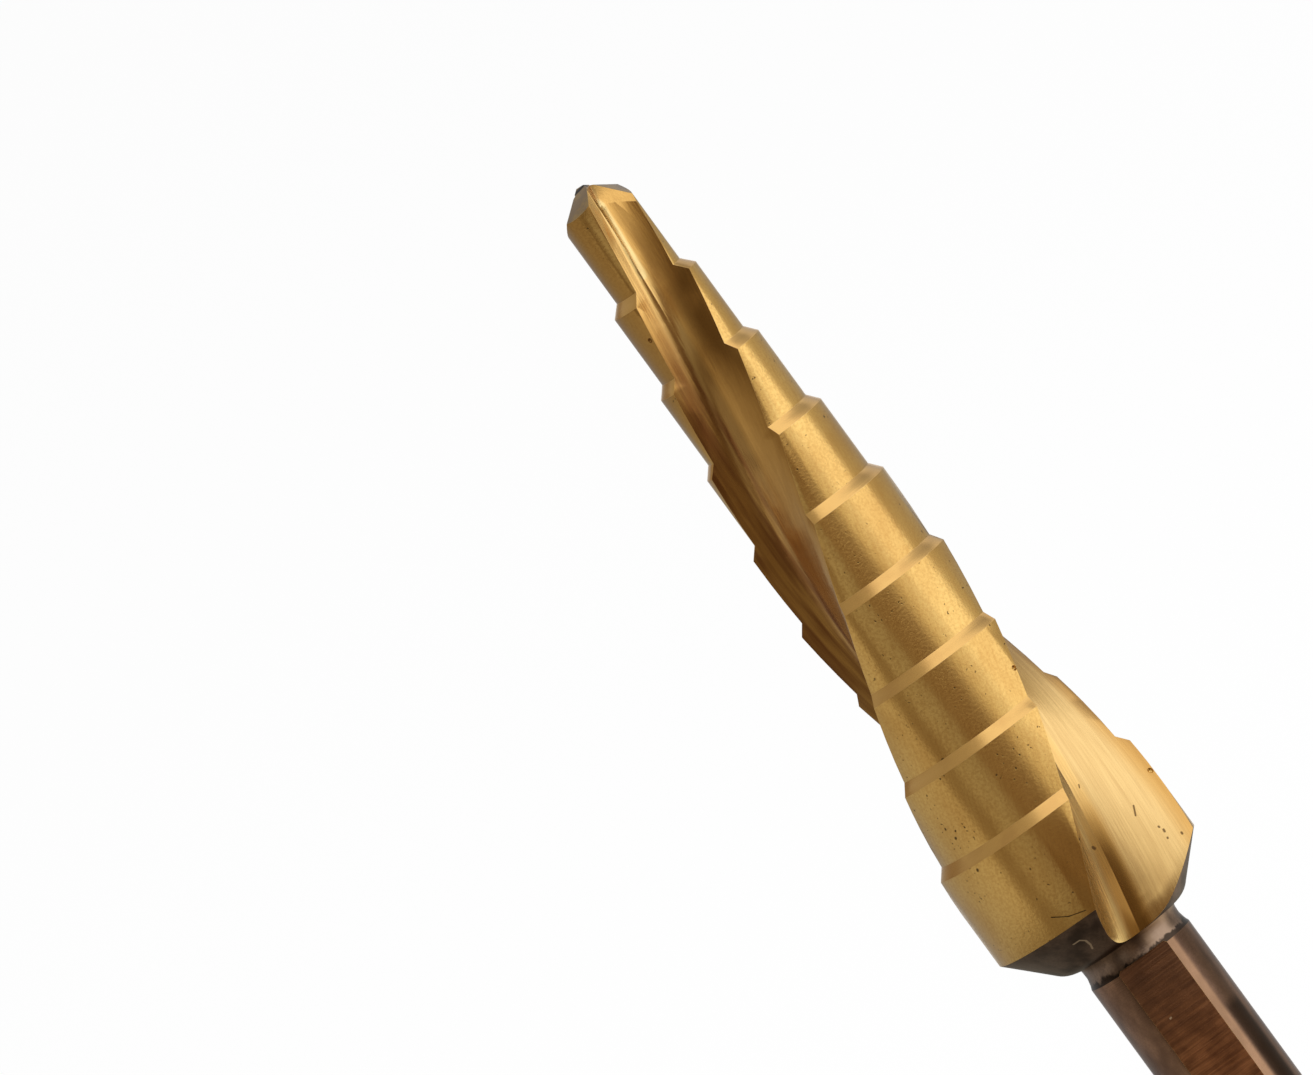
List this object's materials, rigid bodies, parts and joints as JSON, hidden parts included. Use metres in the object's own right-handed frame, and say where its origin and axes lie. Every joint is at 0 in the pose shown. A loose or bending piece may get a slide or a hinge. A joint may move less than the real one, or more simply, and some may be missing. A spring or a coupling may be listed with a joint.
{
  "type": "step drill",
  "caption": "Spiral-flute step drill with a split point, widening in whole-millimetre steps from 4 mm to 12 mm, gold coated, on a dark 6 mm shank ground with flats.",
  "frame": {"origin": "centre of the shank end, which the drill stands on", "axes": "+Z along the drill's axis towards the point; -Y is square to one flat of the shank; +X to the right of that flat, seen from it"},
  "size_m": [0.012, 0.012, 0.065],
  "materials": {
    "coated_steel": "high speed steel with a thin gold titanium nitride coating over the ground lands, shoulders and flutes; the rear cone, neck and shank are bare dark brown steel"
  },
  "bodies": {
    "root": {"step_drill": "coated_steel"}
  },
  "joints": []
}
